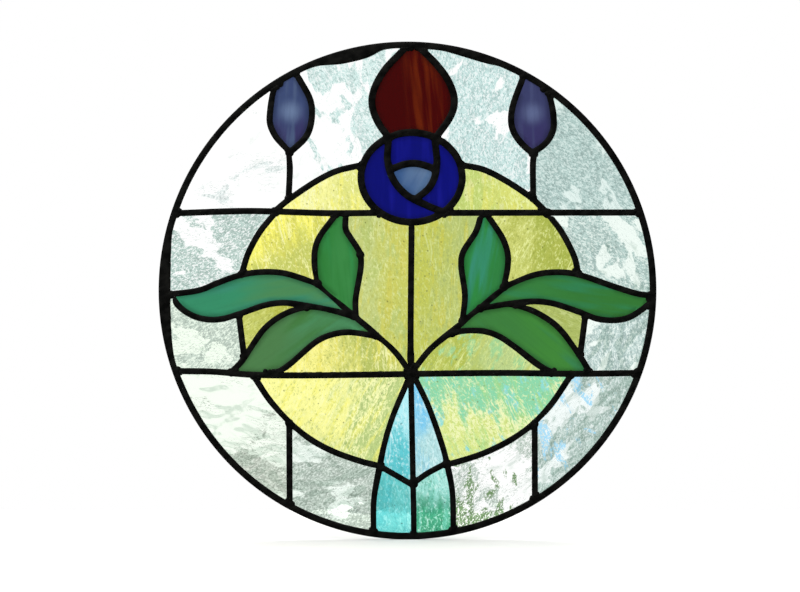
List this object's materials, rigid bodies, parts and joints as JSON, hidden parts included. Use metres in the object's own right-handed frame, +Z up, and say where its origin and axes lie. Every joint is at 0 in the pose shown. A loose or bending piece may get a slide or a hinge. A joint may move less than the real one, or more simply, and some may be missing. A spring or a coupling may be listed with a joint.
{
  "type": "stained glass window",
  "caption": "Round leaded stained glass panel with a flower, buds and leaf sprays over a yellow disc in rippled clear glass, held by its rim in a rebate.",
  "frame": {"origin": "on the flat back face of the rim came, in the middle of its face, at the lowest point of the panel", "axes": "+Z up the panel, +X to the right as seen from the front, -Y out of the front, +Y out of the back face that lies in the rebate"},
  "size_m": [0.498, 0.006, 0.498],
  "materials": {
    "lead": "dark patinated lead with a dull sheen, tinned at the joints",
    "clear_glass": "clear rippled glass with a faint aqua tint",
    "yellow_glass": "streaky yellow and green seedy glass",
    "green_glass": "opalescent green glass with blue-green streaks",
    "red_glass": "deep brown-red streaky glass",
    "blue_glass": "deep cobalt blue glass",
    "pale_blue_glass": "milky pale blue glass",
    "violet_glass": "milky violet-blue glass with paler streaks",
    "turquoise_glass": "streaky turquoise glass"
  },
  "bodies": {
    "root": {"rim_came": "lead", "rose_came": "lead", "lower_bar_came": "lead", "upper_bar_came_left": "lead", "upper_bar_came_right": "lead", "leaf_came_left": "lead", "leaf_came_right": "lead", "stalk_came": "lead", "ring_came_top_left": "lead", "ring_came_top_right": "lead", "ring_came_side_left": "lead", "ring_came_side_right": "lead", "ring_came_bottom_left": "lead", "ring_came_bottom_right": "lead", "bud_came_left": "lead", "bud_came_right": "lead", "centre_came": "lead", "clear_top_left": "clear_glass", "clear_top_mid_left": "clear_glass", "clear_top_mid_right": "clear_glass", "clear_top_right": "clear_glass", "clear_side_left_upper": "clear_glass", "clear_side_left_lower": "clear_glass", "clear_side_right_upper": "clear_glass", "clear_side_right_lower": "clear_glass", "clear_bottom_left_outer": "clear_glass", "clear_bottom_left_inner": "clear_glass", "clear_bottom_right_inner": "clear_glass", "clear_bottom_right_outer": "clear_glass", "disc_top_left": "yellow_glass", "disc_top_right": "yellow_glass", "disc_upper_left": "yellow_glass", "disc_centre_left": "yellow_glass", "disc_centre_right": "yellow_glass", "disc_upper_right": "yellow_glass", "disc_sliver_left": "yellow_glass", "disc_sliver_right": "yellow_glass", "disc_lower_left": "yellow_glass", "disc_lower_right": "yellow_glass", "disc_bottom_left": "yellow_glass", "disc_bottom_right": "yellow_glass", "leaf_left_upper": "green_glass", "leaf_left_long": "green_glass", "leaf_left_lower": "green_glass", "leaf_right_upper": "green_glass", "leaf_right_long": "green_glass", "leaf_right_lower": "green_glass", "flower_red": "red_glass", "rose_left_petal": "blue_glass", "rose_right_petal": "blue_glass", "rose_top_petal": "blue_glass", "rose_centre": "pale_blue_glass", "bud_left": "violet_glass", "bud_right": "violet_glass", "stalk_upper_left": "turquoise_glass", "stalk_upper_right": "turquoise_glass", "stalk_lower_left": "turquoise_glass", "stalk_lower_right": "turquoise_glass"}
  },
  "joints": []
}
